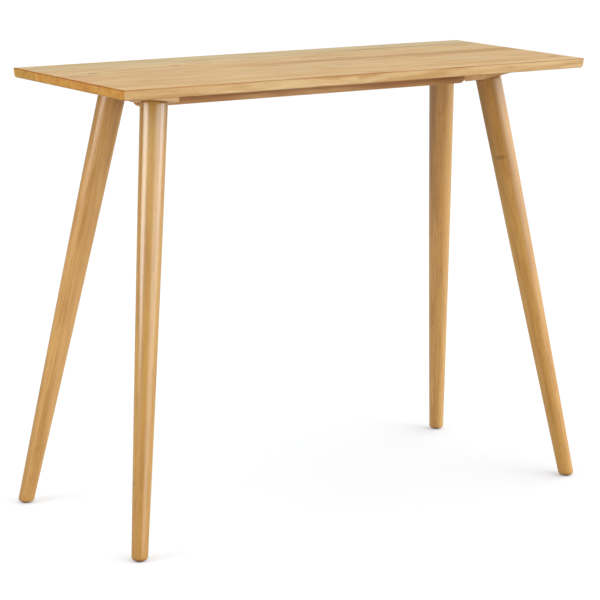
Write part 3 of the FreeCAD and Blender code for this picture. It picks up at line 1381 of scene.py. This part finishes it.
@dataclass
class Hardware:
    """What holds the table together: hanger bolts, threaded inserts, fluted dowels and foot glides.

    Attributes:
        axes: The axis of each leg.
        machine: The bolts' machine thread.
        wood: The bolts' wood thread.
        outer: The inserts' outer thread.
        tip: Radius of a bolt's tip, and how far that is from its lower end.
        point: Where a bolt's point ends and its wood thread starts, from its lower end.
        waist: Where the wood thread ends, and where the waist starts and ends, below the leg's head.
        waist_inset: How much thinner the waist is.
        bolt_chamfer: Inset and height of the chamfer at a bolt's upper end.
        insert_room: How far an insert ends below the top.
        insert_gap: Room between a bolt and its insert.
        insert_lead: Plain length at an insert's ends.
        flutes: Flutes round a dowel.
        flute_depth: Their depth.
        dowel_radius: Radius of a dowel.
        dowel_chamfer: Inset and height of the chamfer at a dowel's ends.
        flute_sides: Sides of the dowel to a flute.
        glide_rim: Rounding of a glide's rim.
        glide_steps: Flats in that rounding.
        glide_sides: Sides of a glide.
        glide_face: Share of the radius, height and wear of three places on a glide's dished face.
        dowel_wood: The dowels' wood.
    """

    axes: dict[str, LegAxis]
    machine: Thread = Thread(4.0 * MM, 0.7 * MM, 1.25 * MM)
    wood: Thread = Thread(4.0 * MM, 1.1 * MM, 3.0 * MM)
    outer: Thread = Thread(6.25 * MM, 0.8 * MM, 2.5 * MM)
    tip: Span = (0.6 * MM, 0.3 * MM)
    point: Span = (6 * MM, 6.5 * MM)
    waist: Point = (5 * MM, 4 * MM, 1 * MM)
    waist_inset: float = 0.3 * MM
    bolt_chamfer: Span = (0.4 * MM, 1 * MM)
    insert_room: float = 10 * MM
    insert_gap: float = 0.05 * MM
    insert_lead: float = 0.6 * MM
    flutes: int = 12
    flute_depth: float = 0.3 * MM
    dowel_radius: float = 4 * MM
    dowel_chamfer: Span = (0.9 * MM, 1 * MM)
    flute_sides: int = 6
    glide_rim: float = 1.2 * MM
    glide_steps: int = 5
    glide_sides: int = 64
    glide_face: tuple[Point, ...] = ((0.0, 0.25 * MM, 0.5), (0.45, 0.2 * MM, 0.6), (0.7, 0.0, 0.9))
    dowel_wood: WoodFinish = WoodFinish(early=linear(226, 196, 150), late=linear(208, 172, 122), coat=0.0,
                                        roughness=(0.6, 0.75), edge_share=0.2)

    def bolt(self, corner: str, material: bpy.types.Material) -> None:
        """Builds a hanger bolt: machine thread above, a plain waist, and wood thread with a point below.

        Args:
            corner: The bolt's corner.
            material: Its finish.
        """
        axis, radius, sides = self.axes[corner], self.machine.radius, self.machine.sides
        low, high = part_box("hanger_bolt_" + corner)
        middle = (low + high) / 2
        tilt = abs(axis.down.z)
        half = ((high.z - low.z) / 2 - radius * math.sqrt(1 - tilt * tilt)) / tilt
        head = (axis.head - middle).dot(-axis.down)
        draft = MeshDraft()
        last = draft.circle(self.tip[0], -half + self.tip[1], sides)
        draft.cap(last, (0.0, 0.0, -half))
        last = draft.skin(last, draft.circle(self.wood.root, -half + self.point[0], sides))
        last = self.wood.cut(draft, -half + self.point[1], head - self.waist[0], last)
        for below in self.waist[1:]:
            last = draft.skin(last, draft.circle(radius - self.waist_inset, head - below, sides))
        inset, chamfer = self.bolt_chamfer
        last = self.machine.cut(draft, head, half - chamfer, last)
        last = draft.skin(last, draft.circle(self.machine.root - inset, half, sides))
        draft.cap(last, (0.0, 0.0, half))
        piece = draft.make("threaded_hanger_bolt_" + corner)
        Workshop.settle(piece, Matrix.Translation(middle) @ axis.place.to_3x3().to_4x4())
        Workshop.fit(piece, "hanger_bolt_" + corner, Slot.STEEL, material)

    def inserts(self, material: bpy.types.Material) -> None:
        """Builds the four threaded inserts as one group.

        Args:
            material: Their finish.
        """
        group = MeshDraft()
        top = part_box("leg_block_front_left")[1].z
        bore, root, sides = self.machine.radius + self.insert_gap, self.outer.root, self.outer.sides
        for axis in self.axes.values():
            length = -axis.reach(top) - self.insert_room
            draft = MeshDraft()
            inside = draft.circle(bore, 0.0, sides)
            last = draft.skin(inside, draft.circle(root, 0.0, sides))
            last = self.outer.cut(draft, self.insert_lead, length - self.insert_lead, last)
            last = draft.skin(last, draft.circle(root, length, sides))
            draft.skin(draft.skin(last, draft.circle(bore, length, sides)), inside)
            group.take(draft, axis.place)
        Workshop.fit(group.make("threaded_inserts_of_steel"), "threaded_inserts", Slot.STEEL, material)

    def dowels(self, node: str, places: list[Span]) -> None:
        """Builds a group of fluted dowels with chamfered ends.

        Args:
            node: The node that it stands for.
            places: Where the dowels stand.
        """
        low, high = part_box(node)
        group = MeshDraft()
        sides = self.flutes * self.flute_sides
        inset, chamfer = self.dowel_chamfer
        for x, y in places:
            rings = []
            for height, drawn_in in ((low.z, inset), (low.z + chamfer, 0.0), (high.z - chamfer, 0.0),
                                     (high.z, inset)):
                points = []
                for i in range(sides):
                    angle = FULL_TURN * i / sides
                    flute = self.flute_depth * max(0.0, math.cos(self.flutes * angle))
                    radius = self.dowel_radius - flute - drawn_in
                    points.append((x + radius * math.cos(angle), y + radius * math.sin(angle), height))
                rings.append(group.ring(points, 0.3))
            group.loft(rings)
            group.cap(rings[0], (x, y, low.z))
            group.cap(rings[-1], (x, y, high.z))
        name = "fluted_" + node
        piece = group.make(name, FLUTES_CRISP_FROM)
        turn = Grain.ALONG_Z.turn()
        material = self.dowel_wood.paint(name + "_wood", turn, seed_of(node), (low + high) / 2)
        Workshop.fit(piece, node, Slot.DOWEL, material)

    def glide(self, corner: str, material: bpy.types.Material) -> None:
        """Builds a foot glide: a round pad with a rounded rim and a shallow dished face.

        Args:
            corner: The glide's corner.
            material: Its finish.
        """
        low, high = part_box("foot_glide_" + corner)
        radius, thick, rim = (high.x - low.x) / 2, high.z - low.z, self.glide_rim
        outline = [(radius * share, height, worn) for share, height, worn in self.glide_face]
        for step in range(self.glide_steps + 1):
            angle = QUARTER_TURN * step / self.glide_steps
            across, above = radius - rim + rim * math.sin(angle), rim - rim * math.cos(angle)
            outline.append((across, above, 0.8 - 0.1 * step))
        outline += [(radius, thick, 0.0), (radius * 0.5, thick, 0.0), (0.0, thick, 0.0)]
        draft = MeshDraft()
        draft.lathe(outline, self.glide_sides)
        piece = draft.make("floor_glide_" + corner)
        Workshop.settle(piece, Matrix.Translation(((low.x + high.x) / 2, (low.y + high.y) / 2, low.z)))
        Workshop.fit(piece, "foot_glide_" + corner, Slot.GLIDE, material)

    def build(self) -> None:
        """Builds all the hardware."""
        steel = SteelFinish().paint("plated_steel_brushed")
        plastic = PlasticFinish().paint("glide_plastic_moulded")
        for corner in self.axes:
            self.bolt(corner, steel)
            self.glide(corner, plastic)
        self.inserts(steel)
        blocks = [WedgeBlock(corner, axis) for corner, axis in self.axes.items()]
        self.dowels("block_dowels", [place for block in blocks for place in block.peg_places()])
        self.dowels("rail_dowels", StiffeningRail.peg_places())


@dataclass(frozen=True)
class Softbox:
    """A rectangular studio light that faces the table.

    Attributes:
        name: Its name.
        azimuth: Its direction from the table in degrees; 0 is the front and 90 the right.
        rise: Its height angle in degrees.
        distance: Its distance from the table's middle.
        width: Its width.
        height: Its height.
        power: Its power in watts.
    """

    name: str
    azimuth: float
    rise: float
    distance: float
    width: float
    height: float
    power: float

    def build(self, target: Vector) -> None:
        """Hangs the light.

        Args:
            target: The point that it faces.
        """
        light = bpy.data.lights.new(self.name, "AREA")
        light.shape = "RECTANGLE"
        light.size, light.size_y = self.width, self.height
        light.energy = self.power
        way = heading(self.azimuth, self.rise)
        lamp = Workshop.stand(self.name, light)
        lamp.location = target + way * self.distance
        lamp.rotation_mode = "QUATERNION"
        lamp.rotation_quaternion = way.to_track_quat("Z", "Y")


@dataclass(frozen=True)
class Glow:
    """A soft bright patch of the studio's surroundings.

    Attributes:
        azimuth: Its direction in degrees; 0 is the front and 90 the right.
        rise: Its height angle in degrees.
        spread: The angle in degrees from its middle to its edge.
        strength: How bright its middle is.
    """

    azimuth: float
    rise: float
    spread: float
    strength: float


@dataclass
class Studio:
    """The floor, the lights and the camera.

    Attributes:
        floor_size: Side of the floor.
        horizon: Light from the horizon.
        zenith: How much more light there is from straight above.
        glows: Bright patches of the surroundings.
        boxes: The softboxes.
        lit_point: The point that they face.
        azimuth: The camera's direction from the table in degrees.
        elevation: Its angle above the horizon in degrees.
        distance: Its distance from the target.
        target: The point that it faces.
        roll: Its roll in degrees.
        focal_pixels: Its focal length in pixels of the picture.
        picture: Width of the picture in pixels.
        sensor: Width of its sensor in millimetres.
        clip: The nearest and the farthest that it sees.
    """

    floor_size: float = 80.0
    horizon: float = 0.1
    zenith: float = 1.25
    glows: tuple[Glow, ...] = (Glow(94.0, 11.0, 47.0, 2.1), Glow(30.0, 14.0, 52.0, 2.3),
                               Glow(-75.0, 38.0, 50.0, 0.4))
    boxes: tuple[Softbox, ...] = (
        Softbox("left_strip", -96.0, 15.0, 2.7, 1.6, 1.1, 22.0),
        Softbox("right_strip", 44.0, 12.0, 6.0, 3.0, 1.7, 40.0),
    )
    lit_point: Point = (0.0, 0.0, 0.5)
    azimuth: float = -34.875
    elevation: float = 12.132
    distance: float = 5.657
    target: Point = (-0.0131, 0.0, 0.4757)
    roll: float = 0.604
    focal_pixels: float = 2336.8
    picture: float = 600.0
    sensor: float = 36.0
    clip: Span = (0.05, 200.0)

    def floor(self) -> None:
        """Lays the floor."""
        draft = MeshDraft()
        half = self.floor_size / 2
        corners = [(-half, -half, 0.0), (half, -half, 0.0), (half, half, 0.0), (-half, half, 0.0)]
        draft.faces.append(draft.ring(corners))
        ground = draft.make("studio_floor")
        ground.data.materials.append(FloorFinish().paint("studio_floor_white"))

    def surroundings(self) -> None:
        """Lights the scene from all round by the glows and the sky, against plain white."""
        world = bpy.data.worlds.new("studio")
        graph = NodeGraph(world)
        way = graph.place.outputs["Generated"]
        height = graph.add("SeparateXYZ", {0: way}).outputs[2]
        light = graph.math("MULTIPLY_ADD", graph.math("MAXIMUM", height, 0.0), self.zenith, self.horizon)
        for glow in self.glows:
            towards = graph.measure("DOT_PRODUCT", way, tuple(heading(glow.azimuth, glow.rise)))
            patch = graph.fade(towards, math.cos(math.radians(glow.spread)), 1.0)
            light = graph.math("MULTIPLY_ADD", patch, glow.strength, light)
        lit, seen = (graph.add("Background", {"Color": WHITE, "Strength": strength}).outputs[0]
                     for strength in (light, 1.0))
        by_eye = graph.add("LightPath").outputs["Is Camera Ray"]
        either = graph.add("MixShader", {0: by_eye, 1: lit, 2: seen}).outputs[0]
        graph.add("OutputWorld", {"Surface": either})
        bpy.context.scene.world = world

    def camera(self) -> None:
        """Sets up the camera at the picture's viewing angle."""
        back = heading(self.azimuth, self.elevation)
        roll = math.radians(self.roll)
        right = (-back).cross(Vector((0.0, 0.0, 1.0))).normalized()
        up = right.cross(-back)
        across = right * math.cos(roll) + up * math.sin(roll)
        upward = up * math.cos(roll) - right * math.sin(roll)
        data = bpy.data.cameras.new("studio_camera")
        data.sensor_width = self.sensor
        data.lens = self.focal_pixels * self.sensor / self.picture
        data.clip_start, data.clip_end = self.clip
        place = Matrix((across, upward, back)).transposed().to_4x4()
        place.translation = Vector(self.target) + back * self.distance
        eye = Workshop.stand("studio_camera", data)
        eye.matrix_world = place
        bpy.context.scene.camera = eye

    def build(self) -> None:
        """Builds the studio."""
        self.floor()
        self.surroundings()
        for box in self.boxes:
            box.build(Vector(self.lit_point))
        self.camera()
        bpy.context.scene.view_settings.view_transform = "Standard"
        log.info("studio is up: %d softboxes", len(self.boxes))


def leg_woods() -> dict[str, WoodFinish]:
    """Chooses the wood of each leg: its own tone, gloss and knots, with painted light and painted shade in
    bands along its sides.

    Returns:
        The finish of each corner's leg.
    """
    turned = WoodFinish(pith=(0.05, -0.035), ring=0.0036, coat_roughness=0.22, coat_ior=1.8, cloud=0.7,
                        dashes=0.75, flecks=0.35, roughness=(0.36, 0.48), edge_share=0.3)
    return {
        "front_left": replace(
            turned, early=linear(190, 148, 67), late=linear(165, 118, 44), tone=linear(174, 125, 44),
            coat=1.0,
            knots=(Knot(-0.34, 0.0133, -0.0168, 0.004, 0.6), Knot(0.12, 0.024, -0.01, 0.003, 0.35)),
            # A paler band on the upper part of one side: a painted highlight.
            streaks=(Streak(0.03, 0.008, 0.25, 0.45, linear(206, 168, 92)),)),
        "front_right": replace(
            turned, early=linear(197, 154, 84), late=linear(171, 123, 56), tone=linear(179, 129, 56),
            coat=0.3,
            knots=(Knot(0.312, -0.002, -0.03, 0.015, 0.55, 3.0), Knot(-0.1, 0.01, -0.022, 0.003, 0.3)),
            # A paler band along one side is painted light; the darker bands on the upper sides are painted
            # shade under the top.
            streaks=(Streak(-0.023, 0.013, -0.9, 0.5, linear(214, 172, 106)),
                     Streak(-0.024, 0.016, 0.22, 0.5, linear(128, 92, 48)),
                     Streak(0.02, 0.012, 0.0, 0.5, linear(149, 106, 40)))),
        "back_left": replace(
            turned, early=linear(201, 158, 93), late=linear(174, 126, 64), tone=linear(183, 133, 64),
            coat=0.45,
            knots=(Knot(0.2, -0.02, 0.016, 0.003, 0.35),),
            # The darker band along one side is painted shade; the paler band along the other side is painted
            # light.
            streaks=(Streak(0.022, 0.013, -0.9, 0.6, linear(160, 121, 66)),
                     Streak(-0.023, 0.011, -0.9, 0.45, linear(207, 167, 112)))),
        "back_right": replace(
            turned, early=linear(208, 164, 96), late=linear(181, 132, 67), tone=linear(190, 139, 67),
            coat=0.85,
            knots=(Knot(0.26, -0.027, 0.002, 0.0035, 0.45, 2.0),),
            # The paler band along one side is painted light; the darker band high on the other side is
            # painted shade under the top.
            streaks=(Streak(-0.02, 0.012, -0.9, 0.5, linear(210, 170, 106), True),
                     Streak(0.024, 0.014, 0.12, 0.6, linear(124, 84, 42), True))),
    }


def main() -> None:
    """Builds and dresses the table, piece by piece, and then the studio."""
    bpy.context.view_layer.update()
    axes = {corner: LegAxis.of(corner) for corner in CORNERS}
    woods = leg_woods()
    Tabletop().build()
    StiffeningRail().build()
    for number, (corner, axis) in enumerate(axes.items()):
        TurnedLeg(corner, axis).build(woods[corner], seed_of("leg", number))
        WedgeBlock(corner, axis).build(seed_of("block", number))
    Hardware(axes).build()
    Studio().build()


if __name__ == "__main__":
    logging.basicConfig(level=logging.INFO, format="%(name)s: %(message)s")
    main()
